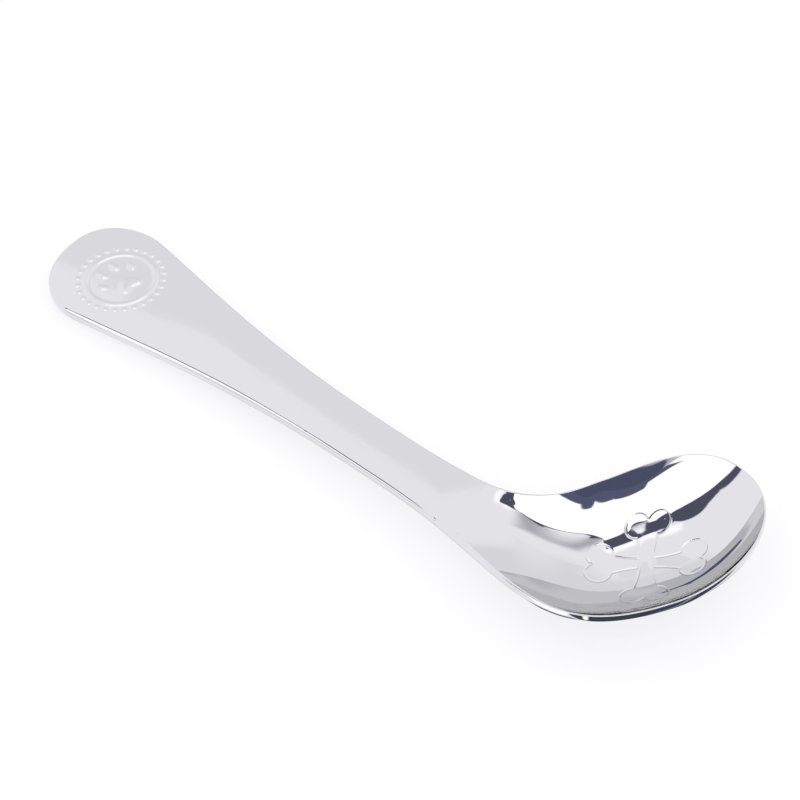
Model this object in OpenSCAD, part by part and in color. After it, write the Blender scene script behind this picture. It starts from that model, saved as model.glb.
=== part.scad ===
// Toddler's training spoon, pressed and polished from one steel blank.
// A flat straight handle with a broad round end narrows to a neck, and the deep
// bowl is turned to the left, so that a right hand can bring it to the mouth.
// The solids are the three zones of the one pressing and meet face to face.
// The spoon is drawn with its top side in one plane and then laid down on a table.

/* [Handle] */
// Length of the handle, from its round end to the narrowest place of the neck
handle_len = 76; // [64:1:90]
// Width across the round end
handle_end_w = 21.5; // [17:0.5:25]
// Length over which the end is rounded
handle_cap_len = 10.9; // [9:0.1:14]
// How far the foremost point of the round end lies to the left of the middle line
end_apex_left = 1.8; // [0:0.1:2.5]
// Thickness of the handle and neck
handle_t = 2.1; // [1.6:0.1:2.8]
// Rounding of the long edges
handle_edge_r = 0.35; // [0.2:0.05:0.45]

/* [Neck] */
// Width of the neck at its narrowest place
neck_w = 9.6; // [7:0.1:11]
// Length of straight metal behind the narrowest place that belongs to the neck
neck_back_len = 14; // [8:1:20]
// Length from the narrowest place to the mouth of the bowl
neck_front_len = 14; // [10:1:18]
// Distance from the middle line to the edge on the bowl's inner side, at its mouth
mouth_inner = 5.45; // [4.9:0.05:6]
// Distance from the middle line to the edge on the bowl's outer side, at its mouth
mouth_outer = 5.3; // [4.9:0.05:7]

/* [Bowl outline] */
// Angle between the bowl's sides and the handle
bowl_turn = 62.5; // [52:0.5:68]
// How far the waist of the inner side lies ahead of the mouth
waist_ahead = 15.2; // [13:0.1:18]
// How far the waist of the inner side lies to the left of the middle line
waist_left = 17.7; // [15:0.1:19]
// How far the outer side lies ahead of the mouth, across from the waist
side_ahead = 39.7; // [36:0.1:43]
// How far that place lies to the left of the middle line
side_left = 5.6; // [3:0.1:7]
// How far the tip of the bowl lies ahead of the mouth
tip_ahead = 28.9; // [27:0.1:32]
// How far the tip of the bowl lies to the left of the middle line
tip_left = 33.4; // [31:0.1:36]

/* [Bowl section] */
// Depth of the bowl below its rim
bowl_depth = 7.7; // [5:0.1:9.5]
// Wall of the bowl
bowl_wall = 1.2; // [0.8:0.05:1.6]
// Width of the flat rim, seen from above
rim_w = 0.6; // [0.5:0.05:1]
// Thickness of the metal at the rim
rim_t = 1.3; // [0.9:0.05:1.6]
// Rounding of the rim's edges
rim_edge_r = 0.25; // [0.15:0.05:0.4]
// Length over which the floor falls from the mouth to the bowl's full depth
heel_len = 27; // [20:0.5:32]
// Length over which the floor rises again from full depth to the tip
toe_len = 17; // [12:0.5:22]

/* [Hidden] */
steel = [0.82, 0.82, 0.84];

// The two powers of the handle's taper
taper_shares = [1.22, 2.57];
// Fullness of the bowl across and along
dish_power_share = 2.5;
// Pulls of the round end's curves, across at the foremost point and back at the widest
cap_pull_shares = [0.67, 0.5];
// Pulls of the edge curves as shares of the straight line between their ends
inner_pull_shares = [0.61, 0.19];
outer_pull_shares = [0.49, 0.5];
inner_tip_pull_shares = [0.24, 0.42];
outer_tip_pull_shares = [0.38, 0.46];
// Where the tip's cross edge begins along the last curve on each side
tip_start_share = 0.55;
// Where the same corner lies at the handle's round end, from its foremost point
cap_corner_share = 0.55;
// Angle at which the two edges leave the mouth
mouth_deg = 6;

// Steps of the lofts
bowl_steps = 40;
across_steps = 26;
handle_steps = 30;
straight_steps = 22;
neck_steps = 10;
edge_arc_steps = 3;

handle_joint_x = handle_len - neck_back_len;
mouth_x = handle_len + neck_front_len;

// General functions
function dir(deg) = [cos(deg), sin(deg)];
function mix(a, b, t) = a * (1 - t) + b * t;
function clamp01(t) = min(max(t, 0), 1);
function smooth(t) = let (c = clamp01(t)) c * c * (3 - 2 * c);
function reverse(list) = [for (i = [len(list) - 1:-1:0]) list[i]];
function sum_to(list, n) = n <= 0 ? 0 : list[n - 1] + sum_to(list, n - 1);
function unit(v) = v / norm(v);
function bezier(a, b, c, d, t) =
    a * pow(1 - t, 3) + b * 3 * t * pow(1 - t, 2) + c * 3 * t * t * (1 - t) + d * pow(t, 3);
// A curve from a, leaving at angle deg_a, to b, arriving at angle deg_b
function ease_curve(a, deg_a, b, deg_b, pull_shares, t) =
    let (d = norm(b - a))
    bezier(a, a + dir(deg_a) * d * pull_shares[0], b - dir(deg_b) * d * pull_shares[1], b, t);

// Outline of the handle and the neck, half the width at a distance from the end
function taper_half_w(x) =
    let (s = clamp01((x - handle_cap_len) / (handle_len - handle_cap_len)))
    neck_w / 2 + (handle_end_w - neck_w) / 2 * pow(1 - pow(s, taper_shares[0]), taper_shares[1]);
// The round end on one side, 1 for the left and -1 for the right, from its foremost point
function cap_point(t, side) =
    let (half = side * handle_end_w / 2)
    bezier([0, end_apex_left], [0, mix(end_apex_left, half, cap_pull_shares[0])],
           [handle_cap_len * (1 - cap_pull_shares[1]), half], [handle_cap_len, half], t);
function neck_edge(x, mouth_half_w) =
    x <= handle_len ? taper_half_w(x) :
    let (t = (x - handle_len) / neck_front_len, rise = tan(mouth_deg) * neck_front_len)
    mix(neck_w / 2, mouth_half_w, t * t * (3 - 2 * t)) + rise * (pow(t, 3) - pow(t, 2));

// Edges of the bowl, seen from above
mouth_inner_pt = [mouth_x, mouth_inner];
mouth_outer_pt = [mouth_x, -mouth_outer];
waist_pt = [mouth_x + waist_ahead, waist_left];
side_pt = [mouth_x + side_ahead, side_left];
tip_pt = [mouth_x + tip_ahead, tip_left];
function inner_edge(t) = t <= 1 ?
    ease_curve(mouth_inner_pt, mouth_deg, waist_pt, bowl_turn, inner_pull_shares, t) :
    ease_curve(waist_pt, bowl_turn, tip_pt, 0, inner_tip_pull_shares, t - 1);
function outer_edge(t) = t <= 1 ?
    ease_curve(mouth_outer_pt, -mouth_deg, side_pt, bowl_turn, outer_pull_shares, t) :
    ease_curve(side_pt, bowl_turn, tip_pt, 180, outer_tip_pull_shares, t - 1);
edge_end_share = 1 + tip_start_share;

// The rim band's section: pairs of how far in from the edge and how far down
function band_rows(t, r) = concat(
    [for (k = [0:edge_arc_steps]) let (a = 90 * k / edge_arc_steps) [r * (1 - sin(a)), r * (1 - cos(a))]],
    [for (k = [0:edge_arc_steps]) let (a = 90 * k / edge_arc_steps) [r * (1 - cos(a)), t - r * (1 - sin(a))]]);
band_count = 2 * edge_arc_steps + 2;

// Inward normals of an open outline whose inside lies on its left. The two ends
// lie on a joint plane, so there the normal stays square to the handle.
function inward(loop) = [for (b = [0:len(loop) - 1])
    b == 0 || b == len(loop) - 1 ? [0, sign(loop[len(loop) - 1 - b][1] - loop[b][1])] :
    let (d = unit(unit(loop[b + 1] - loop[b]) + unit(loop[b] - loop[b - 1]))) [-d[1], d[0]]];

// A surface in plan between two long edges, a joint line and a closing edge
function patch(loop, n, m) =
    let (a0 = loop[0], b0 = loop[2 * n + m], a1 = loop[n], b1 = loop[n + m])
    [for (i = [0:n]) let (u = i / n) [for (j = [0:m]) let (v = j / m)
        mix(loop[i], loop[2 * n + m - i], v) + mix(mix(a0, b0, v), loop[n + j], u)
        - mix(mix(a0, b0, v), mix(a1, b1, v), u)]];

// Points of a closed solid over such a patch: the top lies at -top_drop, the
// underside at -bottom_drop, and the band round the edge runs between the two.
function patch_points(loop, n, m, thick, edge_r, top_drop, bottom_drop) =
    let (count = len(loop), nrm = inward(loop),
         top = patch([for (b = [0:count - 1]) loop[b] + nrm[b] * rim_w], n, m),
         bottom = patch([for (b = [0:count - 1]) loop[b] + nrm[b] * edge_r[b]], n, m))
    concat(
        [for (i = [0:n]) for (j = [0:m]) [top[i][j][0], top[i][j][1], -top_drop[i][j]]],
        [for (i = [0:n]) for (j = [0:m]) [bottom[i][j][0], bottom[i][j][1], -bottom_drop[i][j]]],
        [for (b = [0:count - 1]) let (rows = band_rows(thick[b], edge_r[b]))
            for (k = [0:band_count - 2]) let (p = loop[b] + nrm[b] * rows[k][0]) [p[0], p[1], -rows[k][1]]]);

// Number of the top patch's point at place b of the outline
function rim_index(b, n, m) = b <= n ? b * (m + 1) :
    b <= n + m ? n * (m + 1) + b - n : (2 * n + m - b) * (m + 1) + m;
// Number of the point in row k of the band at place b of the outline
function band_index(k, b, n, m) = let (grid = (n + 1) * (m + 1))
    k == 0 ? rim_index(b, n, m) :
    k == band_count ? grid + rim_index(b, n, m) : 2 * grid + b * (band_count - 1) + k - 1;
function patch_faces(n, m) =
    let (count = 2 * n + m + 1, grid = (n + 1) * (m + 1))
    concat(
        [for (i = [0:n - 1]) for (j = [0:m - 1]) let (p = i * (m + 1) + j)
            for (f = [[p, p + 1, p + m + 2], [p, p + m + 2, p + m + 1]]) f],
        [for (i = [0:n - 1]) for (j = [0:m - 1]) let (p = grid + i * (m + 1) + j)
            for (f = [[p, p + m + 2, p + 1], [p, p + m + 1, p + m + 2]]) f],
        [for (b = [0:count - 2]) for (k = [0:band_count - 1])
            let (p = band_index(k, b, n, m), q = band_index(k, b + 1, n, m),
                 r = band_index(k + 1, b + 1, n, m), s = band_index(k + 1, b, n, m))
            for (f = [[p, q, r], [p, r, s]]) f],
        [for (j = [0:m - 1]) for (f = [[j, grid + j, grid + j + 1], [j, grid + j + 1, j + 1]]) f],
        [for (k = [1:band_count - 1]) for (f = [
            [0, band_index(k, 0, n, m), band_index(k + 1, 0, n, m)],
            [m, band_index(k + 1, count - 1, n, m), band_index(k, count - 1, n, m)]]) f]);

// Handle: its two long edges up to the corners of the round end, then the end
function handle_side(side) = concat(
    [for (i = [0:straight_steps - 1])
        let (x = mix(handle_joint_x, handle_cap_len, i / straight_steps)) [x, side * taper_half_w(x)]],
    [for (i = [straight_steps:handle_steps])
        cap_point(mix(cap_corner_share, 1, (handle_steps - i) / (handle_steps - straight_steps)), side)]);
handle_end = [for (j = [1:across_steps - 1]) let (t = 1 - 2 * j / across_steps)
    cap_point(cap_corner_share * abs(t), t > 0 ? 1 : -1)];
handle_loop = concat(handle_side(1), handle_end, reverse(handle_side(-1)));
handle_points = patch_points(handle_loop, handle_steps, across_steps,
    [for (p = handle_loop) handle_t], [for (p = handle_loop) handle_edge_r],
    [for (i = [0:handle_steps]) [for (j = [0:across_steps]) 0]],
    [for (i = [0:handle_steps]) [for (j = [0:across_steps]) handle_t]]);

// Neck: the same rows of points at each place along it, top, underside and bands
function neck_row(x) =
    let (left = neck_edge(x, mouth_inner), right = neck_edge(x, mouth_outer),
         rows = band_rows(handle_t, handle_edge_r))
    concat(
        [for (j = [0:across_steps]) [x, mix(rim_w - right, left - rim_w, j / across_steps), 0]],
        [for (k = [0:band_count - 2]) [x, left - rows[k][0], -rows[k][1]]],
        [for (j = [across_steps:-1:0])
            [x, mix(handle_edge_r - right, left - handle_edge_r, j / across_steps), -handle_t]],
        [for (k = [band_count - 2:-1:0]) [x, rows[k][0] - right, -rows[k][1]]]);
neck_rows = [for (i = [0:neck_steps]) neck_row(mix(handle_joint_x, mouth_x, i / neck_steps))];
// Triangles that close one end of the neck, from its ring of points
function ring_cap(m) =
    let (under = m + band_count, last = 2 * m + 2 * band_count)
    concat(
        [for (j = [0:m - 1]) for (f = [[j, j + 1, under + m - j - 1], [j, under + m - j - 1, under + m - j]]) f],
        [for (k = [0:band_count - 2]) [m, m + 1 + k, m + 2 + k]],
        [for (k = [0:band_count - 2]) [0, under + m + k, under + m + k + 1]]);

// Bowl: its two sides up to the corners of the tip, then the tip
bowl_loop = concat(
    [for (i = [0:bowl_steps]) outer_edge(edge_end_share * i / bowl_steps)],
    [for (j = [1:across_steps - 1]) let (t = 2 * j / across_steps)
        t <= 1 ? outer_edge(mix(edge_end_share, 2, t)) : inner_edge(mix(2, edge_end_share, t - 1))],
    [for (i = [bowl_steps:-1:0]) inner_edge(edge_end_share * i / bowl_steps)]);
bowl_mid = [for (row = patch(bowl_loop, bowl_steps, across_steps)) row[across_steps / 2]];
mid_gaps = [for (i = [1:bowl_steps]) norm(bowl_mid[i] - bowl_mid[i - 1])];
mid_runs = [for (i = [0:bowl_steps]) sum_to(mid_gaps, i)];
// Share of the full depth on the middle line, and across it
function along_share(run) =
    let (toe = clamp01((run - mid_runs[bowl_steps] + toe_len) / toe_len))
    smooth(run / heel_len) * (1 - pow(toe, dish_power_share));
function across_share(j) = 1 - pow(abs(2 * j / across_steps - 1), dish_power_share);
function bowl_thick(run) = mix(handle_t, rim_t, smooth(run / heel_len));
function bowl_edge_r(run) = mix(handle_edge_r, rim_edge_r, smooth(run / heel_len));
function bowl_run(b) = mid_runs[b <= bowl_steps ? b :
    b <= bowl_steps + across_steps ? bowl_steps : 2 * bowl_steps + across_steps - b];
bowl_points = patch_points(bowl_loop, bowl_steps, across_steps,
    [for (b = [0:len(bowl_loop) - 1]) bowl_thick(bowl_run(b))],
    [for (b = [0:len(bowl_loop) - 1]) bowl_edge_r(bowl_run(b))],
    [for (run = mid_runs) [for (j = [0:across_steps]) bowl_depth * along_share(run) * across_share(j)]],
    [for (run = mid_runs) [for (j = [0:across_steps])
        bowl_thick(run) + (bowl_depth + bowl_wall - rim_t) * along_share(run) * across_share(j)]]);

// Laid on a table the spoon touches it with the bowl and with its round end. It
// leans a little towards the handle's right edge, where its weight lies.
rest_roll = 1.5;
function laid(p, pitch) = let (y = p[1] * cos(rest_roll) - p[2] * sin(rest_roll),
                               z = p[1] * sin(rest_roll) + p[2] * cos(rest_roll))
    [p[0] * cos(pitch) - z * sin(pitch), y, p[0] * sin(pitch) + z * cos(pitch)];
function lowest(points, pitch) = min([for (p = points) laid(p, pitch)[2]]);
function settle(pitch, turns) = turns == 0 ? pitch :
    let (gap = lowest(handle_points, pitch) - lowest(bowl_points, pitch))
    settle(pitch + atan(gap / bowl_mid[bowl_steps / 2][0]), turns - 1);
settle_turns = 4;
rest_pitch = settle(0, settle_turns);
laid_points = [for (p = concat(handle_points, bowl_points)) laid(p, rest_pitch)];
function low(axis) = min([for (p = laid_points) p[axis]]);
function high(axis) = max([for (p = laid_points) p[axis]]);
module lay_down() {
    translate([-(low(0) + high(0)) / 2, -(low(1) + high(1)) / 2, -low(2)])
        rotate([0, -rest_pitch, 0])
            rotate([rest_roll, 0, 0])
                children();
}

module handle() {
    color(steel)
        lay_down()
            polyhedron(handle_points, patch_faces(handle_steps, across_steps));
}

module neck() {
    ring = len(neck_rows[0]);
    last = neck_steps * ring;
    cap = ring_cap(across_steps);
    color(steel)
        lay_down()
            polyhedron(
                [for (row = neck_rows) for (p = row) p],
                concat(
                    [for (i = [0:neck_steps - 1]) for (k = [0:ring - 1])
                        let (a = i * ring + k, b = i * ring + (k + 1) % ring)
                        for (f = [[a, b, b + ring], [a, b + ring, a + ring]]) f],
                    [for (f = cap) reverse(f)],
                    [for (f = cap) [for (k = f) last + k]]));
}

module bowl() {
    color(steel)
        lay_down()
            polyhedron(bowl_points, patch_faces(bowl_steps, across_steps));
}

handle();
neck();
bowl();
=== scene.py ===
# Toddler's training spoon: one pressing of stainless steel, polished all over.
import math
import bpy
import numpy as np
from mathutils import Matrix


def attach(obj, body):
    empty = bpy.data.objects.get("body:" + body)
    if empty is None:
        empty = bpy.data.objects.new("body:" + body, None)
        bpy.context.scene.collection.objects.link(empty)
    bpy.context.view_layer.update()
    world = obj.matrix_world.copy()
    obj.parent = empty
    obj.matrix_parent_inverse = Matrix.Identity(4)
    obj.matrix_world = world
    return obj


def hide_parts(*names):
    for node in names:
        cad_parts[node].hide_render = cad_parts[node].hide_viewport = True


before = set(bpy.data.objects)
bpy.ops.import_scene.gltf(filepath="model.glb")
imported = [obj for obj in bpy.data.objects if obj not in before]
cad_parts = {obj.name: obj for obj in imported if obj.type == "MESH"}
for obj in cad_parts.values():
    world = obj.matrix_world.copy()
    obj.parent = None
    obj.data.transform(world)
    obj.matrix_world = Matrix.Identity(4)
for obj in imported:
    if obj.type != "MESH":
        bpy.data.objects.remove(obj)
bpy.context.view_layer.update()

mm = 0.001

# How the spoon lies: leaning a little, lifted towards the neck, moved over the origin.
# Its steel is drawn up to 0.03 mm thinner than the solids, which keeps it inside their box.
lay = {"roll": 1.5, "pitch": 3.29328, "shift": (-66.0562, -11.3394, 2.1124)}


def tilt(v):
    v = np.asarray(v, float)
    roll, pitch = math.radians(lay["roll"]), math.radians(lay["pitch"])
    x, y, z = v[..., 0], v[..., 1], v[..., 2]
    side = y * math.cos(roll) - z * math.sin(roll)
    up = y * math.sin(roll) + z * math.cos(roll)
    return np.stack([x * math.cos(pitch) - up * math.sin(pitch), side,
                     x * math.sin(pitch) + up * math.cos(pitch)], -1)


def laid(points):
    return (tilt(points) + lay["shift"]) * mm


# Curves in the plane of the spoon's top side, in millimetres
def bezier(a, b, c, d, t):
    t = np.asarray(t, float)[:, None]
    a, b, c, d = (np.asarray(p, float) for p in (a, b, c, d))
    return a * (1 - t) ** 3 + 3 * b * t * (1 - t) ** 2 + 3 * c * t * t * (1 - t) + d * t ** 3


def heading(deg):
    return np.array([math.cos(math.radians(deg)), math.sin(math.radians(deg))])


# Leaves a at one angle and arrives at b at another
def easeCurve(a, degA, b, degB, pulls, t):
    gap = np.linalg.norm(b - a)
    return bezier(a, a + heading(degA) * gap * pulls[0], b - heading(degB) * gap * pulls[1], b, t)


def smooth(t):
    t = np.clip(t, 0, 1)
    return t * t * (3 - 2 * t)


# Directions square to an outline, towards its inside
def inward(loop):
    step = np.diff(loop, axis=0)
    step /= np.linalg.norm(step, axis=1)[:, None]
    along = step[1:] + step[:-1]
    along /= np.linalg.norm(along, axis=1)[:, None]
    normal = np.zeros_like(loop)
    normal[1:-1] = np.c_[-along[:, 1], along[:, 0]]
    side = np.sign(loop[-1, 1] - loop[0, 1])
    normal[0], normal[-1] = (0, side), (0, -side)
    return normal


# Fills an outline of two long edges, a joint line and a closing edge
def patch(loop, rows, cols):
    u = np.linspace(0, 1, rows + 1)[:, None, None]
    v = np.linspace(0, 1, cols + 1)[None, :, None]
    right, left = loop[:rows + 1][:, None], loop[rows + cols:][::-1][:, None]
    closing = loop[rows:rows + cols + 1][None]
    joint = loop[0] * (1 - v) + loop[-1] * v
    chord = loop[rows] * (1 - v) + loop[rows + cols] * v
    sides = right * (1 - v) + left * v + joint * (1 - u) + closing * u
    return sides - (joint * (1 - u) + chord * u)


def gridNormals(points):
    normal = np.cross(np.gradient(points, axis=0), np.gradient(points, axis=1))
    normal /= np.linalg.norm(normal, axis=-1, keepdims=True)
    return normal * np.sign(normal[..., 2:3])


# The cells of a finer zone over a box in the plan, in whole coarse cells
def zoneCells(plan, box, rows, cols, step):
    x, y = plan[..., 0], plan[..., 1]
    held = np.argwhere((x > box[0]) & (x < box[1]) & (y > box[2]) & (y < box[3]))
    (i0, j0), (i1, j1) = held.min(0) // step * step, -(-held.max(0) // step) * step
    return i0, min(i1, rows - step), max(j0, step), min(j1, cols - step)


bandSteps = 8  # steps from the top to the outermost place, and as many down to the underside


# Barrel-shaped band round the edge: how far in, how far down, and how the surface faces.
# Its places are spread evenly over the way that the surface turns.
def bandRows(thick, topInset, lowInset, power):
    angle = np.radians(90 * np.arange(1, 2 * bandSteps) / bandSteps)
    out, up = np.sin(angle), np.round(np.cos(angle), 9)
    width, half = np.where(up >= 0, topInset, lowInset), thick / 2
    across = (out * width) ** (1 / (power - 1))
    along = (abs(up) * half) ** (1 / (power - 1))
    size = (across ** power + along ** power) ** (1 / power)
    return width * (1 - across / size), half * (1 - np.sign(up) * along / size), out, up


outOfReach = 0.1  # metres


# One closed solid over a patch. The top has a finer zone where something is coined.
def pressedSolid(name, spec):
    rows, cols, finer = spec["rows"], spec["cols"], spec["finer"]
    loop, zone = spec["loop"], spec["zone"]
    normals2d = inward(loop)
    topPlan = patch(loop + normals2d * spec["rimInset"][:, None], rows, cols)
    lowPlan = patch(loop + normals2d * spec["lowInset"][:, None], rows, cols)
    top = np.dstack([topPlan, -spec["topDrop"]])
    low = np.dstack([lowPlan, -spec["lowDrop"]])
    topNormal, lowNormal = gridNormals(top), -gridNormals(low)
    topNormal[0], lowNormal[0] = (0, 0, 1), (0, 0, -1)
    points, normals, faces = [], [], []

    def addPoint(p, n):
        points.append(p)
        normals.append(n)
        return len(points) - 1

    def inZone(i, j):
        return zone[0] <= i <= zone[1] and zone[2] <= j <= zone[3]

    def addGrid(grid, gridNormal, fine):
        index = -np.ones((rows + 1, cols + 1), int)
        for i in range(rows + 1):
            for j in range(cols + 1):
                onBase = i % finer == 0 and j % finer == 0
                if onBase or (fine and inZone(i, j)):
                    index[i, j] = addPoint(grid[i, j], gridNormal[i, j])
        return index

    def cellRing(index, i, j, size):
        ring = [index[i + k, j] for k in range(size)]
        ring += [index[i + size, j + k] for k in range(size)]
        ring += [index[i + size - k, j + size] for k in range(size)]
        ring += [index[i, j + size - k] for k in range(size)]
        return [k for k in ring if k >= 0]

    def addCells(index, fine, flip):
        for i in range(0, rows, finer):
            for j in range(0, cols, finer):
                if fine and inZone(i, j) and inZone(i + finer, j + finer):
                    for a in range(finer):
                        for b in range(finer):
                            p = [index[i + a, j + b], index[i + a + 1, j + b],
                                 index[i + a + 1, j + b + 1], index[i + a, j + b + 1]]
                            faces.append(p[::-1] if flip else p)
                else:
                    ring = cellRing(index, i, j, finer)
                    faces.append(ring[::-1] if flip else ring)

    topIndex = addGrid(top, topNormal, True)
    topCount = len(points)
    lowIndex = addGrid(low, lowNormal, False)
    addCells(topIndex, True, False)
    addCells(lowIndex, False, True)

    # The band, from the top patch's border down to the underside's
    border = []
    for b in range(0, len(loop), finer):
        if b <= rows:
            i, j = b, 0
        elif b <= rows + cols:
            i, j = rows, b - rows
        else:
            i, j = 2 * rows + cols - b, cols
        inset, drop, out, up = bandRows(*(spec[key][b] for key in ("thick", "rimInset", "lowInset", "barrel")))
        ring = [topIndex[i, j]]
        for k in range(len(inset)):
            place = loop[b] + normals2d[b] * inset[k]
            facing = np.r_[-normals2d[b] * out[k], up[k]]
            ring.append(addPoint([place[0], place[1], -drop[k]], facing))
        ring.append(lowIndex[i, j])
        border.append(ring)
    for a, b in zip(border[:-1], border[1:]):
        for k in range(len(a) - 1):
            faces.append([a[k], a[k + 1], b[k + 1], b[k]])

    # The flat joint face
    jointRing = [topIndex[0, j] for j in range(0, cols + 1, finer)] + border[-1][1:-1]
    jointRing += [lowIndex[0, j] for j in range(cols, -1, -finer)] + border[0][1:-1][::-1]
    faces.append(jointRing)
    piece, facing = meshPiece(name, points, normals, faces, len(faces) - 1)

    # Where each place lies in the plan, in metres. All but the top is put far from the outlines there.
    plan = np.array(points) * mm
    plan[:, 2] = np.where(np.arange(len(points)) < topCount, 0, -outOfReach)
    layer = piece.data.attributes.new("plan", "FLOAT_VECTOR", "POINT")
    layer.data.foreach_set("vector", plan.astype(np.float32).ravel())
    spec["index"] = topIndex
    return piece, facing


def meshPiece(name, points, normals, faces, *flatFaces):
    mesh = bpy.data.meshes.new(name)
    mesh.from_pydata([tuple(p) for p in laid(np.array(points))], [],
                     [[int(k) for k in face] for face in faces])
    mesh.update()
    piece = bpy.data.objects.new(name, mesh)
    bpy.context.scene.collection.objects.link(piece)
    piece["flatFaces"] = list(flatFaces)
    return piece, tilt(np.array(normals))


def setNormals(piece, pointNormals):
    mesh = piece.data
    mesh.polygons.foreach_set("use_smooth", [True] * len(mesh.polygons))
    corner = np.zeros(len(mesh.loops), int)
    mesh.loops.foreach_get("vertex_index", corner)
    split = pointNormals[corner]
    for number in piece["flatFaces"]:
        face = mesh.polygons[number]
        split[face.loop_start:face.loop_start + face.loop_total] = face.normal
    mesh.normals_split_custom_set([tuple(n) for n in split])
    del piece["flatFaces"]


# Handle and neck
handleSet = {"length": 76.0, "endWidth": 21.5, "capLength": 10.9, "apexLeft": 1.8, "capPulls": (0.67, 0.5),
             "capCorner": 0.55, "thick": 2.092, "inset": 0.6, "lowInset": 0.35, "barrel": 3.2,
             "taper": (1.22, 2.57), "jointAt": 62.0, "neckWidth": 9.6,
             "cells": (84, 28), "straightShare": 0.86, "finer": 6, "zone": (3.5, 23.5, -9.3, 9.3)}
neckSet = {"front": 14.0, "mouthInner": 5.45, "mouthOuter": 5.3, "mouthDeg": 6.0, "cells": 70}


def taperHalf(x):
    s = np.clip((x - handleSet["capLength"]) / (handleSet["length"] - handleSet["capLength"]), 0, 1)
    a, b = handleSet["taper"]
    widening = (handleSet["endWidth"] - handleSet["neckWidth"]) / 2
    return handleSet["neckWidth"] / 2 + widening * (1 - s ** a) ** b


# The round end on one side, from its foremost point to its widest
def capPoint(t, side):
    half, apex, back = side * handleSet["endWidth"] / 2, handleSet["apexLeft"], handleSet["capLength"]
    pullOut, pullBack = handleSet["capPulls"]
    return bezier((0, apex), (0, apex * (1 - pullOut) + half * pullOut),
                  (back * (1 - pullBack), half), (back, half), t)


def neckEdge(x, mouthHalf):
    t = np.clip((x - handleSet["length"]) / neckSet["front"], 0, 1)
    rise = math.tan(math.radians(neckSet["mouthDeg"])) * neckSet["front"]
    flare = handleSet["neckWidth"] / 2 * (1 - smooth(t)) + mouthHalf * smooth(t) + rise * (t ** 3 - t ** 2)
    return np.where(x <= handleSet["length"], taperHalf(x), flare)


def buildHandle():
    rows, cols = (n * handleSet["finer"] for n in handleSet["cells"])
    straight = int(rows * handleSet["straightShare"])
    x = np.linspace(handleSet["jointAt"], handleSet["capLength"], straight + 1)[:-1]
    corner = handleSet["capCorner"]
    bend = np.linspace(1, corner, rows - straight + 1)
    sides = [np.vstack([np.c_[x, side * taperHalf(x)], capPoint(bend, side)]) for side in (1, -1)]
    t = 1 - 2 * np.arange(1, cols) / cols
    end = np.where((t > 0)[:, None], capPoint(corner * abs(t), 1), capPoint(corner * abs(t), -1))
    loop = np.vstack([sides[0], end, sides[1][::-1]])
    flat = np.zeros((rows + 1, cols + 1))
    step = handleSet["finer"]
    evenly = {key: np.full(len(loop), handleSet[name]) for key, name in
              (("rimInset", "inset"), ("lowInset", "lowInset"), ("barrel", "barrel"), ("thick", "thick"))}
    return {"rows": rows, "cols": cols, "finer": step, "loop": loop, **evenly,
            "zone": zoneCells(patch(loop, rows, cols), handleSet["zone"], rows, cols, step),
            "topDrop": flat, "lowDrop": flat + handleSet["thick"]}


handleSpec = buildHandle()
handle, handleNormals = pressedSolid("handle", handleSpec)
print("spoon: handle", len(handle.data.vertices), "points")


def buildNeck():
    cols = handleSet["cells"][1]
    points, normals, faces = [], [], []
    inset, drop, out, up = bandRows(*(handleSet[key] for key in ("thick", "inset", "lowInset", "barrel")))
    places = np.linspace(handleSet["jointAt"], handleSet["length"] + neckSet["front"], neckSet["cells"] + 1)
    left = neckEdge(places, neckSet["mouthInner"])
    right = neckEdge(places, neckSet["mouthOuter"])
    slopes = np.gradient(left, places), np.gradient(right, places)

    def across(k, j, edge):
        return (edge - right[k]) * (1 - j / cols) + (left[k] - edge) * j / cols

    for k, x in enumerate(places):
        for j in range(cols + 1):
            points.append([x, across(k, j, handleSet["inset"]), 0])
            normals.append([0, 0, 1])
        for a in range(len(inset)):
            points.append([x, left[k] - inset[a], -drop[a]])
            normals.append([-slopes[0][k] * out[a], out[a], up[a]])
        for j in range(cols, -1, -1):
            points.append([x, across(k, j, handleSet["lowInset"]), -handleSet["thick"]])
            normals.append([0, 0, -1])
        for a in range(len(inset) - 1, -1, -1):
            points.append([x, inset[a] - right[k], -drop[a]])
            normals.append([-slopes[1][k] * out[a], -out[a], up[a]])
    ring = len(points) // len(places)
    for k in range(len(places) - 1):
        for a in range(ring):
            p, q = k * ring + a, k * ring + (a + 1) % ring
            faces.append([p, p + ring, q + ring, q])
    last = (len(places) - 1) * ring
    faces += [list(range(ring)), [last + a for a in range(ring - 1, -1, -1)]]
    normals = np.array(normals, float)
    normals /= np.linalg.norm(normals, axis=1)[:, None]
    return meshPiece("neck", points, normals, faces, len(faces) - 2, len(faces) - 1)


neck, neckNormals = buildNeck()
print("spoon: neck", len(neck.data.vertices), "points")

# Bowl: four edge curves, a dished floor, and a rim. At the heel, the top side starts to fall a little
# later than the underside does.
bowlSet = {"turn": 62.5, "waist": (15.2, 17.7), "side": (39.7, 5.6), "tip": (28.9, 33.4),
           "inner": (0.61, 0.19), "outer": (0.49, 0.5), "innerTip": (0.24, 0.42), "outerTip": (0.38, 0.46),
           "depth": 7.7, "wall": 1.17, "heel": 27.0, "heelLag": 2.6, "toe": 17.0, "power": 2.5,
           "rimThick": 1.3, "inset": 0.25, "lowInset": 0.25, "barrel": 6.0,
           "tipStart": 1.55, "cells": (120, 60), "finer": 4, "zone": (107.0, 127.5, 1.5, 25.5)}
mouthAt = handleSet["length"] + neckSet["front"]


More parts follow.
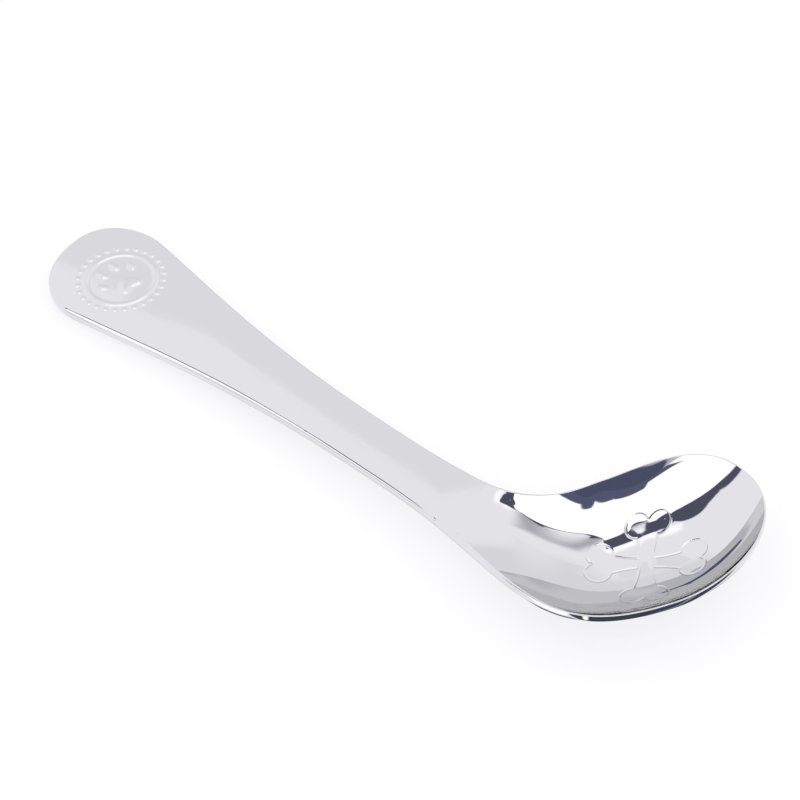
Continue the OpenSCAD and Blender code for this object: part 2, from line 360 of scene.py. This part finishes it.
def bowlEdge(t, outerSide):
    mouth = np.array([mouthAt, -neckSet["mouthOuter"] if outerSide else neckSet["mouthInner"]])
    middle = np.array([mouthAt, 0]) + bowlSet["side" if outerSide else "waist"]
    tip = np.array([mouthAt, 0]) + bowlSet["tip"]
    leave, arrive = (-neckSet["mouthDeg"], 180) if outerSide else (neckSet["mouthDeg"], 0)
    key = "outer" if outerSide else "inner"
    t = np.asarray(t, float)
    first = easeCurve(mouth, leave, middle, bowlSet["turn"], bowlSet[key], np.clip(t, 0, 1))
    second = easeCurve(middle, bowlSet["turn"], tip, arrive, bowlSet[key + "Tip"], np.clip(t - 1, 0, 1))
    return np.where((t <= 1)[:, None], first, second)


def buildBowl():
    step = bowlSet["finer"]
    rows, cols = (n * step for n in bowlSet["cells"])
    start = bowlSet["tipStart"]
    t = start * np.arange(rows + 1) / rows
    c = 2 * np.arange(1, cols) / cols
    end = np.where((c <= 1)[:, None], bowlEdge(start + (2 - start) * np.clip(c, 0, 1), True),
                   bowlEdge(2 + (start - 2) * np.clip(c - 1, 0, 1), False))
    loop = np.vstack([bowlEdge(t, True), end, bowlEdge(t, False)[::-1]])
    plan = patch(loop, rows, cols)
    middle = plan[:, cols // 2]
    run = np.r_[0, np.cumsum(np.linalg.norm(np.diff(middle, axis=0), axis=1))]
    lag = bowlSet["heelLag"]
    fall, laterFall = smooth(run / bowlSet["heel"]), smooth((run - lag) / (bowlSet["heel"] - lag))
    toe = np.clip((run - run[-1] + bowlSet["toe"]) / bowlSet["toe"], 0, 1)
    untilToe = 1 - toe ** bowlSet["power"]
    across = 1 - np.abs(2 * np.arange(cols + 1) / cols - 1) ** bowlSet["power"]
    share = (fall * untilToe)[:, None] * across[None]
    thick, rimInset, lowInset, barrel = (
        handleSet[a] * (1 - fall) + bowlSet[b] * fall for a, b in
        (("thick", "rimThick"), ("inset", "inset"), ("lowInset", "lowInset"), ("barrel", "barrel")))
    ring = np.r_[np.arange(rows + 1), np.full(cols - 1, rows), np.arange(rows, -1, -1)]
    return {"rows": rows, "cols": cols, "finer": step, "loop": loop,
            "zone": zoneCells(plan, bowlSet["zone"], rows, cols, step),
            "rimInset": rimInset[ring], "lowInset": lowInset[ring], "barrel": barrel[ring], "thick": thick[ring],
            "topDrop": bowlSet["depth"] * (laterFall * untilToe)[:, None] * across[None],
            "lowDrop": thick[:, None] + (bowlSet["depth"] + bowlSet["wall"] - bowlSet["rimThick"]) * share}


bowlSpec = buildBowl()
bowl, bowlNormals = pressedSolid("bowl", bowlSpec)
print("spoon: bowl", len(bowl.data.vertices), "points")


# Colours are sRGB hex, turned to linear
def hexParts(code):
    return np.array([int(code[k:k + 2], 16) / 255 for k in (1, 3, 5)])


def toLinear(parts):  # by sRGB's own curve
    return np.where(parts <= 0.04045, parts / 12.92, ((parts + 0.055) / 1.055) ** 2.4)


def colour(code):
    return (*toLinear(hexParts(code)), 1.0)


# Adds a node. Its settings are sockets' values where a socket has that name or number.
def addNode(tree, kind, settings=None, links=None):
    node = tree.nodes.new(kind)
    for key, value in (settings or {}).items():
        if isinstance(key, int) or key in node.inputs:
            node.inputs[key].default_value = value
        else:
            setattr(node, key, value)
    for key, source in (links or {}).items():
        tree.links.new(source, node.inputs[key])
    return node


def newMaterial(name):
    material = bpy.data.materials.new(name)
    material.use_nodes = True
    material.node_tree.nodes.clear()
    return material


# Stainless steel as cutlery has it, mostly 18/10, pressed, then polished to a mirror. What the eye sees of
# the polishing is that reflections are a touch softer along some fine lines that run the handle's way, and
# that they waver a little. The lines are drawn 0.35 mm wide, as finer ones wouldn't show in the picture.
steelSet = {"colour": "#e9e9e9", "smoothest": 0.012, "roughest": 0.035, "lineLength": 9.0, "lineWidth": 0.35,
            "noiseRange": (0.3, 0.7), "waveLength": 7.0, "waveHeight": 0.001}


def polishedSteel():
    material = newMaterial("polishedStainlessSteel")
    tree = material.node_tree
    spot = addNode(tree, "ShaderNodeTexCoord").outputs["Object"]
    long, fine, wave = (1 / (steelSet[key] * mm) for key in ("lineLength", "lineWidth", "waveLength"))
    drawn = addNode(tree, "ShaderNodeMapping", {"Scale": (long, fine, fine)}, {"Vector": spot})
    lines = addNode(tree, "ShaderNodeTexNoise", {"Scale": 1.0, "Detail": 2.0}, {"Vector": drawn.outputs[0]})
    low, high = steelSet["noiseRange"]
    blur = addNode(tree, "ShaderNodeMapRange",
                   {"From Min": low, "From Max": high, "To Min": steelSet["smoothest"],
                    "To Max": steelSet["roughest"]}, {"Value": lines.outputs[0]})
    waves = addNode(tree, "ShaderNodeTexNoise", {"Scale": wave, "Detail": 1.0}, {"Vector": spot})
    bump = addNode(tree, "ShaderNodeBump", {"Distance": steelSet["waveHeight"] * mm, "Strength": 1.0},
                   {"Height": waves.outputs[0]})
    shader = addNode(tree, "ShaderNodeBsdfPrincipled",
                     {"Base Color": colour(steelSet["colour"]), "Metallic": 1.0},
                     {"Roughness": blur.outputs[0], "Normal": bump.outputs[0]})
    addNode(tree, "ShaderNodeOutputMaterial", None, {"Surface": shader.outputs[0]})
    return material


steel = polishedSteel()
print("spoon: steel made")


# Outlines in the plan of the spoon's top side, as a guide for the coining
def planGuide(name, loops):
    curve = bpy.data.curves.new(name, "CURVE")
    curve.dimensions = "3D"
    for loop in loops:
        spline = curve.splines.new("POLY")
        spline.points.add(len(loop) - 1)
        flat, weight = np.zeros(len(loop)), np.ones(len(loop))
        spline.points.foreach_set("co", np.c_[np.array(loop) * mm, flat, weight].ravel())
        spline.use_cyclic_u = True
    guide = bpy.data.objects.new(name, curve)
    bpy.context.scene.collection.objects.link(guide)
    return guide


onFace = 0.000002  # metres: nearer than this, a place lies on the pad's face


# Raises and sinks a top side along guide curves: lines along them, pads inside them, a row of beads on them
def coiningTree():
    tree = bpy.data.node_groups.new("coinedFigure", "GeometryNodeTree")
    sockets = {"Geometry": "NodeSocketGeometry", "Lines": "NodeSocketObject", "Pads": "NodeSocketObject",
               "Beads": "NodeSocketObject", "Line Width": "NodeSocketFloat", "Line Height": "NodeSocketFloat",
               "Pad Height": "NodeSocketFloat", "Pad Slope": "NodeSocketFloat", "Bead Count": "NodeSocketInt",
               "Bead Radius": "NodeSocketFloat", "Bead Height": "NodeSocketFloat",
               "Material": "NodeSocketMaterial"}
    for name, kind in sockets.items():
        tree.interface.new_socket(name, in_out="INPUT", socket_type=kind)
    tree.interface.new_socket("Geometry", in_out="OUTPUT", socket_type="NodeSocketGeometry")
    given = addNode(tree, "NodeGroupInput").outputs
    plan = addNode(tree, "GeometryNodeInputNamedAttribute",
                   {"data_type": "FLOAT_VECTOR", "Name": "plan"}).outputs[0]

    def guide(name):
        return addNode(tree, "GeometryNodeObjectInfo", None, {"Object": given[name]}).outputs["Geometry"]

    def reach(target, kind):
        near = addNode(tree, "GeometryNodeProximity", {"target_element": kind},
                       {"Geometry": target, "Sample Position": plan})
        return near.outputs["Distance"]

    def soften(value, reachTo, height, rising):
        ends = {"To Max" if rising else "To Min": height}
        return addNode(tree, "ShaderNodeMapRange",
                       {"interpolation_type": "SMOOTHERSTEP", "To Min": 0.0, "To Max": 0.0},
                       {"Value": value, "From Max": reachTo, **ends}).outputs[0]

    def maths(operation, a, b):
        return addNode(tree, "ShaderNodeMath", {"operation": operation}, {0: a, 1: b}).outputs[0]

    lineWire = addNode(tree, "GeometryNodeCurveToMesh", None, {"Curve": guide("Lines")}).outputs[0]
    halfWidth = addNode(tree, "ShaderNodeMath", {"operation": "MULTIPLY", 1: 0.5},
                        {0: given["Line Width"]}).outputs[0]
    lines = soften(reach(lineWire, "EDGES"), halfWidth, given["Line Height"], False)

    padWire = addNode(tree, "GeometryNodeCurveToMesh", None, {"Curve": guide("Pads")}).outputs[0]
    padFace = addNode(tree, "GeometryNodeFillCurve", None, {"Curve": guide("Pads")}).outputs[0]
    inside = addNode(tree, "ShaderNodeMath", {"operation": "LESS_THAN", 1: onFace},
                     {0: reach(padFace, "FACES")}).outputs[0]
    rounded = soften(reach(padWire, "EDGES"), given["Pad Slope"], given["Pad Height"], True)
    pads = maths("MULTIPLY", inside, rounded)

    row = addNode(tree, "GeometryNodeCurveToPoints", {"mode": "COUNT"},
                  {"Curve": guide("Beads"), "Count": given["Bead Count"]}).outputs["Points"]
    beads = soften(reach(row, "POINTS"), given["Bead Radius"], given["Bead Height"], False)

    height = maths("ADD", maths("ADD", lines, pads), beads)
    outwards = addNode(tree, "GeometryNodeInputNormal").outputs["Normal"]
    lift = addNode(tree, "ShaderNodeVectorMath", {"operation": "SCALE"}, {"Vector": outwards, "Scale": height})
    moved = addNode(tree, "GeometryNodeSetPosition", None,
                    {"Geometry": given["Geometry"], "Offset": lift.outputs[0]})
    whole = addNode(tree, "GeometryNodeRealizeInstances", None, {"Geometry": moved.outputs[0]})
    dressed = addNode(tree, "GeometryNodeSetMaterial", None,
                      {"Geometry": whole.outputs[0], "Material": given["Material"]})
    addNode(tree, "NodeGroupOutput", None, {"Geometry": dressed.outputs[0]})
    return tree


# Applies the coining, then works out afresh how the finer zone faces
def coin(piece, facing, spec, inputs):
    modifier = piece.modifiers.new("coining", "NODES")
    modifier.node_group = coining
    for item in coining.interface.items_tree:
        if item.in_out == "INPUT" and item.name in inputs:
            modifier[item.identifier] = inputs[item.name]
    depsgraph = bpy.context.evaluated_depsgraph_get()
    mesh = bpy.data.meshes.new_from_object(piece.evaluated_get(depsgraph), preserve_all_data_layers=True,
                                           depsgraph=depsgraph)
    piece.modifiers.clear()
    piece.data = mesh
    mesh.name = piece.name
    place = np.zeros(len(mesh.vertices) * 3)
    mesh.vertices.foreach_get("co", place)
    i0, i1, j0, j1 = spec["zone"]
    index = spec["index"][i0:i1 + 1, j0:j1 + 1]
    normal = gridNormals(place.reshape(-1, 3)[index])
    facing[index[1:-1, 1:-1]] = normal[1:-1, 1:-1]


coining = coiningTree()

# Crossed bones pressed into the bowl's floor. Each bone is four round lobes, two at each end, and a waisted
# shaft. Lobes are centre x, y, and radius.
bonesSet = {"over": [(111.73, 18.25, 2.0), (113.6, 21.07, 2.0), (123.0, 9.0, 2.0), (120.4, 6.5, 2.0)],
            "under": [(112.8, 7.26, 2.06), (110.87, 10.16, 2.1), (121.33, 20.36, 1.97), (123.28, 17.54, 2.03)],
            "waist": 0.93, "steps": 26, "lineWidth": 0.46, "lineHeight": -0.06,
            "domeHeight": 0.006, "domeSlope": 0.9}


def boneLoop(lobes):
    centre, radius = np.array(lobes)[:, :2], np.array(lobes)[:, 2]
    ahead = centre[2] + centre[3] - centre[0] - centre[1]
    ahead /= np.linalg.norm(ahead)
    loop = []
    for first, way in ((0, ahead), (2, -ahead)):
        pair = centre[first] - centre[first + 1]
        half = np.linalg.norm(pair) / 2
        for number, side in ((first, pair / 2 / half), (first + 1, -pair / 2 / half)):
            r = radius[number]
            notch = math.pi + math.atan2(half, math.sqrt(r * r - half * half))
            turns = np.linspace(0, notch, bonesSet["steps"])[:, None]
            arc = centre[number] + r * (np.cos(turns) * way + np.sin(turns) * side)
            loop.append(arc if number == first else arc[::-1][1:])
    outline = [loop[0], loop[1]]
    for number, (a, b) in enumerate(((loop[1][-1], loop[2][0]), (loop[3][-1], loop[0][0]))):
        t = np.linspace(0, 1, bonesSet["steps"])[1:-1, None]
        axis = centre.mean(0)
        middle = (a + b) / 2
        off = middle - axis - ahead * np.dot(middle - axis, ahead)
        reachOut = np.linalg.norm(off)
        narrowing = off / reachOut * (reachOut - bonesSet["waist"])
        waisted = a + (b - a) * t - narrowing * (1 - (2 * t - 1) ** 2)
        outline += [waisted, loop[2], loop[3]] if number == 0 else [waisted]
    return np.vstack(outline)


def insideLoop(points, loop):
    inside = np.zeros(len(points), bool)
    for a, b in zip(loop, np.roll(loop, -1, 0)):
        if a[1] != b[1]:
            spans = (a[1] > points[:, 1]) != (b[1] > points[:, 1])
            inside ^= spans & (points[:, 0] < (points[:, 1] - a[1]) * (b[0] - a[0]) / (b[1] - a[1]) + a[0])
    return inside


# The under bone is cut away where the other one lies over it
overBone, underBone = boneLoop(bonesSet["over"]), boneLoop(bonesSet["under"])
hidden = insideLoop(underBone, overBone)
firstHidden = int(np.argmax(hidden))
underBone, hidden = np.roll(underBone, -firstHidden, 0), np.roll(hidden, -firstHidden)
cuts = np.flatnonzero(np.diff(hidden.astype(int))) + 1
shown = [run for run, flags in zip(np.split(underBone, cuts), np.split(hidden, cuts)) if not flags[0]]
bones = planGuide("bones", [overBone] + shown)
noBeads = {"Beads": bones, "Bead Count": 2, "Bead Radius": 0.1 * mm, "Bead Height": 0.0}
coin(bowl, bowlNormals, bowlSpec, {
    "Lines": bones, "Pads": bones, **noBeads, "Line Width": bonesSet["lineWidth"] * mm,
    "Line Height": bonesSet["lineHeight"] * mm, "Pad Height": bonesSet["domeHeight"] * mm,
    "Pad Slope": bonesSet["domeSlope"] * mm, "Material": steel})
print("spoon: bones pressed into the bowl")

# A low relief on the round end: a paw print in a ring, with a row of beads round the ring.
# Pads are centre x, y, half sizes along and across, and turn in degrees.
pawSet = {"centre": (13.3, 0.0), "ring": 6.0, "beadRing": 7.4, "beads": 28, "beadRadius": 0.6,
          "beadHeight": 0.09, "lineWidth": 1.3, "lineHeight": 0.1, "padHeight": 0.15, "padSlope": 0.95,
          "loopStep": 7.5, "cornerCuts": 4,
          "toes": [(-0.9, -3.4, 1.25, 0.9, 24), (-3.0, -1.35, 1.35, 0.95, 8), (-3.0, 1.35, 1.35, 0.95, -8),
                   (-0.9, 3.4, 1.25, 0.9, -24)],
          "heel": [(-0.1, 0.0), (0.45, 1.2), (1.4, 2.1), (2.6, 2.6), (3.7, 1.9), (3.5, 0.75), (3.25, 0.0),
                   (3.5, -0.75), (3.7, -1.9), (2.6, -2.6), (1.4, -2.1), (0.45, -1.2)]}


def ellipseLoop(x, y, along, across, turn):
    t = np.radians(np.arange(0, 360, pawSet["loopStep"]))
    a, b = along * np.cos(t), across * np.sin(t)
    s, c = math.sin(math.radians(turn)), math.cos(math.radians(turn))
    return np.c_[pawSet["centre"][0] + x + a * c - b * s, pawSet["centre"][1] + y + a * s + b * c]


# Cuts a quarter off each side at every corner, some times over
def roundedLoop(corners):
    p = np.array(corners) + pawSet["centre"]
    for _ in range(pawSet["cornerCuts"]):
        after = np.roll(p, -1, 0)
        p = np.stack([p * 0.75 + after * 0.25, p * 0.25 + after * 0.75], 1).reshape(-1, 2)
    return p


ring = planGuide("ring", [ellipseLoop(0, 0, pawSet["ring"], pawSet["ring"], 0)])
paw = planGuide("paw", [ellipseLoop(*toe) for toe in pawSet["toes"]] + [roundedLoop(pawSet["heel"])])
beadRow = planGuide("beadRow", [ellipseLoop(0, 0, pawSet["beadRing"], pawSet["beadRing"], 0)])
coin(handle, handleNormals, handleSpec, {
    "Lines": ring, "Pads": paw, "Beads": beadRow, "Line Width": pawSet["lineWidth"] * mm,
    "Line Height": pawSet["lineHeight"] * mm, "Pad Height": pawSet["padHeight"] * mm,
    "Pad Slope": pawSet["padSlope"] * mm, "Bead Count": pawSet["beads"],
    "Bead Radius": pawSet["beadRadius"] * mm, "Bead Height": pawSet["beadHeight"] * mm, "Material": steel})
for guide in (bones, ring, paw, beadRow):
    bpy.data.objects.remove(guide)
print("spoon: relief raised on the round end")

neck.data.materials.append(steel)
for piece, node, normals in ((handle, "handle", handleNormals), (neck, "neck", neckNormals),
                             (bowl, "bowl", bowlNormals)):
    setNormals(piece, normals)
    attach(piece, "root")
    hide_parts(node)

# Studio: a pale tent that only the polished metal sees, a floor, and the camera.
# Each panel of the tent is an outline of bearings and heights in degrees, painted over those before it.
tentSet = {"radius": 20.0, "step": 0.6, "lowest": -84, "cornerStep": 4, "gapLimit": 9.0, "base": "#e3e2e7",
           "echoBase": "#bebec5", "furtherEchoes": "#cacacf", "gain": 1.23}
tentPanels = {
    "topLight": {"colour": "#f8f8fb", "soft": 9, "corners": [(60, 76), (80, 67), (115, 70), (140, 80), (100, 86)]},
    "highLight": {"colour": "#fcfcff", "soft": 6, "corners": [
        (100, 68), (130, 70), (160, 71), (-176, 66), (170, 60), (140, 60), (110, 63)]},
    "heelShade": {"colour": "#a6a6ad", "soft": 11, "corners": [
        (10, 75), (32, 72), (52, 67), (66, 59), (78, 49), (68, 46), (50, 53), (30, 56), (16, 58)]},
    "wallGrey": {"colour": "#d3d3d8", "soft": 13, "corners": [
        (92, 34), (110, 36), (135, 36), (158, 30), (160, 10), (130, -4), (104, -2)]},
    "lowGrey": {"colour": "#bdbdc3", "soft": 12, "corners": [
        (104, -8), (128, -4), (148, -6), (150, -22), (128, -34), (104, -30)]},
    "lowDark": {"colour": "#3c3e4c", "soft": 3, "corners": [
        (-78, -16), (36, -16), (38, -40), (33, -62), (0, -78), (-40, -78), (-72, -66), (-78, -40)]},
    "lowGap": {"colour": "#84848f", "soft": 2, "corners": [(2, -22), (9, -22), (9, -66), (2, -66)]},
    "lowSpot": {"colour": "#ffffff", "soft": 2, "corners": [(-65, -28), (-59, -28), (-59, -62), (-65, -62)]},
    "lowEdge": {"colour": "#9a9ba5", "soft": 3, "corners": [
        (46, -57), (76, -55), (104, -57), (108, -64), (60, -68)]},
    "lowCorner": {"colour": "#6a6c7a", "soft": 2.5, "corners": [
        (-146, -63), (-120, -61), (-80, -61), (-80, -72), (-120, -74), (-146, -72)]},
    "lowSide": {"colour": "#d2d2d6", "soft": 3, "corners": [
        (-116, -27), (-117, -40), (-121, -43), (-130, -43), (-132, -34), (-128, -27)]},
    "underSide": {"colour": "#d8d8db", "soft": 3, "corners": [
        (-136, -53), (-148, -55), (-178, -58), (-178, -66), (-146, -61)]},
    "lowWhite": {"colour": "#ffffff", "soft": 3, "corners": [
        (-124, -8), (-124, -26), (-116, -30), (-116, -42), (-119, -55), (-100, -56), (-84, -54), (-80, -30),
        (-80, -8)]},
    "darkBand": {"colour": "#4a4c5e", "soft": 1.5, "corners": [
        (-124, -6), (-126, 14), (-127, 24), (-128, 36), (-137, 46), (-150, 53), (-162, 60), (-172, 67),
        (-177, 75), (160, 74), (129, 73), (109, 68), (86, 74), (67, 75), (46, 74.5), (28, 72), (28, 64),
        (32, 57), (24, 56), (20, 50), (19, 20), (18, 0), (0, 0), (-60, 0), (-110, 0)]},
    "whiteSide": {"colour": "#ffffff", "soft": 1.0, "corners": [
        (-119, -14), (-120, 26), (-119, 32), (-118, 41), (-116, 50), (-111, 61), (-101, 72), (-85, 80),
        (-40, 81), (30, 81), (40, 76), (24, 70), (20, 60), (19, 54), (20, 20), (20, -14), (-50, -14)]},
    "slate": {"colour": "#50546c", "soft": 1.0, "corners": [
        (-37, 10.5), (-31, 8.5), (-22, 5), (-14, -1), (-5, -8), (4, -8), (2, 17), (-3, 18), (-8, 17), (-9, 15),
        (-10, 12), (-15, 11), (-23, 10), (-31, 10)]},
}

# What the bowl's far and near walls show of each other, where light meets the metal twice
echoPanels = {
    "echoPale": {"colour": "#d0d0d5", "soft": 10, "corners": [
        (20, 45), (60, 40), (95, 45), (100, 66), (60, 72), (20, 72)]},
    "echoEnd": {"colour": "#dcdce1", "soft": 8, "corners": [
        (-168, 6), (-150, 6), (-110, 6), (-80, 10), (-80, 46), (-168, 48)]},
    "echoSlate": {"colour": "#50546c", "soft": 2, "corners": [
        (112, 67), (123, 63), (151, 60), (170, 59), (-178, 58), (-154, 56), (-138, 53), (-136, 50), (-125, 52),
        (-114, 55), (-112, 64), (-116, 70), (-130, 76), (180, 78), (140, 78), (112, 76)]},
}

# A card inside the tent, for the tone whose edge is sharp in the flat handle
wallCard = {"colour": "#d9d8dd", "radius": 19.5, "middle": (143, 42), "corners": [
    (148.6, 40.8), (147.2, 41.7), (146.3, 42.5), (145.63, 42.76), (145.0, 43.1), (143.14, 44.57), (141.97, 45.41),
    (140.25, 46.54), (139.74, 46.94), (138.4, 46.88), (135, 46), (135, 38), (142, 34), (150, 36)]}


# Bearing and height on a flat map, seen from the zenith
def flatMap(bearing, height):
    bearing, height = np.radians(bearing), np.radians(height)
    return np.stack([np.cos(bearing), np.sin(bearing)], -1) * np.tan((np.pi / 2 - height) / 2)[..., None]


# Adds corners between those given, a few degrees apart
def densely(corners):
    ring = []
    for a, b in zip(corners, corners[1:] + corners[:1]):
        turn, rise = (b[0] - a[0] + 180) % 360 - 180, b[1] - a[1]
        count = int(max(abs(turn), abs(rise)) // tentSet["cornerStep"]) + 1
        ring += [(a[0] + turn * k / count, a[1] + rise * k / count) for k in range(count)]
    return ring


# How many degrees each place lies inside an outline. Distances on the flat map count up to a limit, which
# shows only in the tones at the tent's lowest part.
def depthInside(places, corners):
    ring = flatMap(*np.array(densely(corners), float).T)
    gap = np.full(len(places), tentSet["gapLimit"])
    for a, b in zip(ring, np.roll(ring, -1, 0)):
        along = np.clip((places - a) @ (b - a) / ((b - a) @ (b - a)), 0, 1)
        gap = np.minimum(gap, np.linalg.norm(places - a - along[:, None] * (b - a), axis=1))
    gap = np.degrees(2 * gap / (1 + (places ** 2).sum(1)))
    return np.where(insideLoop(places, ring), gap, -gap)


def onTent(bearing, height, radius):
    b, h = np.radians(bearing), np.radians(height)
    return np.stack([np.cos(h) * np.cos(b), np.cos(h) * np.sin(b), np.sin(h)], -1) * radius


def paintedMesh(name, points, faces, layers):
    mesh = bpy.data.meshes.new(name)
    mesh.from_pydata(points.tolist(), [], faces)
    for key, tone in layers.items():
        layer = mesh.color_attributes.new(key, "FLOAT_COLOR", "POINT")
        layer.data.foreach_set("color", np.c_[toLinear(tone), np.ones(len(tone))].astype(np.float32).ravel())
    return mesh


def buildTent():
    step = tentSet["step"]
    bearing, height = np.meshgrid(np.arange(0, 360, step), np.arange(tentSet["lowest"], 90, step))
    rows, cols = bearing.shape
    places = flatMap(bearing.ravel(), height.ravel())
    layers = {}
    for key, panels, base in (("tone", tentPanels, tentSet["base"]), ("echo", echoPanels, tentSet["echoBase"])):
        tone = np.tile(hexParts(base), (len(places), 1))
        for panel in panels.values():
            share = smooth(depthInside(places, panel["corners"]) / panel["soft"] + 0.5)[:, None]
            tone = tone * (1 - share) + hexParts(panel["colour"]) * share
        layers[key] = tone
    k = np.arange(rows * cols).reshape(rows, cols)
    nextOne = np.roll(k, -1, 1)
    faces = np.stack([k[:-1], nextOne[:-1], nextOne[1:], k[1:]], -1).reshape(-1, 4)
    points = onTent(bearing.ravel(), height.ravel(), tentSet["radius"])
    return paintedMesh("tent", points, faces.tolist(), layers)


def buildCard():
    corners = np.array([wallCard["middle"]] + densely(wallCard["corners"]))
    count = len(corners) - 1
    faces = [(0, k + 1, (k + 1) % count + 1) for k in range(count)]
    tone = np.tile(hexParts(wallCard["colour"]), (len(corners), 1))
    return paintedMesh("wallCard", onTent(*corners.T, wallCard["radius"]), faces, {"tone": tone, "echo": tone})


def stagePiece(name, mesh, material):
    piece = bpy.data.objects.new(name, mesh)
    bpy.context.scene.collection.objects.link(piece)
    mesh.materials.append(material)
    return piece


# The Mix node's sockets for colours go by number, as those for other kinds have the same names
mixShare, mixFirst, mixSecond, mixResult = 0, 6, 7, 2

# Ray Depth is 1 for light that has met the metal once. It sees the tones, at 2 the echoes, and one tone beyond.
tentCloth = newMaterial("tentCloth")
tentCloth.cycles.emission_sampling = "NONE"
cloth = tentCloth.node_tree
tones, echoes = (addNode(cloth, "ShaderNodeAttribute", {"attribute_name": key}) for key in ("tone", "echo"))
paths = addNode(cloth, "ShaderNodeLightPath")
twice, thrice = (addNode(cloth, "ShaderNodeMath", {"operation": "GREATER_THAN", 1: meetings - 0.5},
                         {0: paths.outputs["Ray Depth"]}).outputs[0] for meetings in (2, 3))
later = addNode(cloth, "ShaderNodeMix", {"data_type": "RGBA", mixSecond: colour(tentSet["furtherEchoes"])},
                {mixShare: thrice, mixFirst: echoes.outputs["Color"]})
paint = addNode(cloth, "ShaderNodeMix", {"data_type": "RGBA"},
                {mixShare: twice, mixFirst: tones.outputs["Color"], mixSecond: later.outputs[mixResult]})
glow = addNode(cloth, "ShaderNodeEmission", {"Strength": tentSet["gain"]}, {"Color": paint.outputs[mixResult]})
addNode(cloth, "ShaderNodeOutputMaterial", None, {"Surface": glow.outputs[0]})
for name, mesh in (("tent", buildTent()), ("wallCard", buildCard())):
    screen = stagePiece(name, mesh, tentCloth)
    screen.visible_camera = screen.visible_diffuse = screen.visible_shadow = False

floorSet = {"halfSize": 4.0, "colour": "#a0a0a3", "glow": 0.7}
paleFloor = newMaterial("paleFloor")
matt = addNode(paleFloor.node_tree, "ShaderNodeBsdfDiffuse", {"Color": colour(floorSet["colour"])})
glow = addNode(paleFloor.node_tree, "ShaderNodeEmission", {"Strength": floorSet["glow"]})
both = addNode(paleFloor.node_tree, "ShaderNodeAddShader", None, {0: matt.outputs[0], 1: glow.outputs[0]})
addNode(paleFloor.node_tree, "ShaderNodeOutputMaterial", None, {"Surface": both.outputs[0]})
half = floorSet["halfSize"]
floorMesh = bpy.data.meshes.new("floor")
floorCorners = [(-half, -half, 0), (half, -half, 0), (half, half, 0), (-half, half, 0)]
floorMesh.from_pydata(floorCorners, [], [[0, 1, 2, 3]])
floor = stagePiece("floor", floorMesh, paleFloor)
floor.visible_glossy = False  # the metal sees the lower half of the tent there

# The camera sees white paper behind everything, and the room only gives light
worldSet = {"room": "#f4f4f6", "paper": "#ffffff", "strength": 1.0}
world = bpy.data.worlds.new("studio")
bpy.context.scene.world = world
world.use_nodes = True
world.node_tree.nodes.clear()
rays = addNode(world.node_tree, "ShaderNodeLightPath")
room, paper = (addNode(world.node_tree, "ShaderNodeBackground",
                       {"Color": colour(worldSet[key]), "Strength": worldSet["strength"]})
               for key in ("room", "paper"))
blend = addNode(world.node_tree, "ShaderNodeMixShader", None,
                {0: rays.outputs["Is Camera Ray"], 1: room.outputs[0], 2: paper.outputs[0]})
addNode(world.node_tree, "ShaderNodeOutputWorld", None, {"Surface": blend.outputs[0]})

# The camera stands where the photograph's did, worked out in the handle's own frame. There the picture's
# upright leans 5 degrees towards the bowl.
lean = math.radians(5)
viewSet = {"place": (320.43836, -225.10466, 362.70999), "look": (-0.5031182, 0.4697211, -0.7254200),
           "upHint": (math.sin(lean), 0, math.cos(lean)), "lens": 139.5, "nearest": 0.01}
look = tilt(viewSet["look"])
right = np.cross(look, tilt(viewSet["upHint"]))
right /= np.linalg.norm(right)
up = np.cross(right, look)
place = laid(viewSet["place"])
camera = bpy.data.objects.new("camera", bpy.data.cameras.new("camera"))
camera.data.lens = viewSet["lens"]
camera.data.clip_start = viewSet["nearest"]
bpy.context.scene.collection.objects.link(camera)
camera.matrix_world = Matrix([(right[k], up[k], -look[k], place[k]) for k in range(3)] + [(0, 0, 0, 1)])
bpy.context.scene.camera = camera
bpy.context.scene.view_settings.view_transform = "Standard"
print("spoon: studio and camera set")
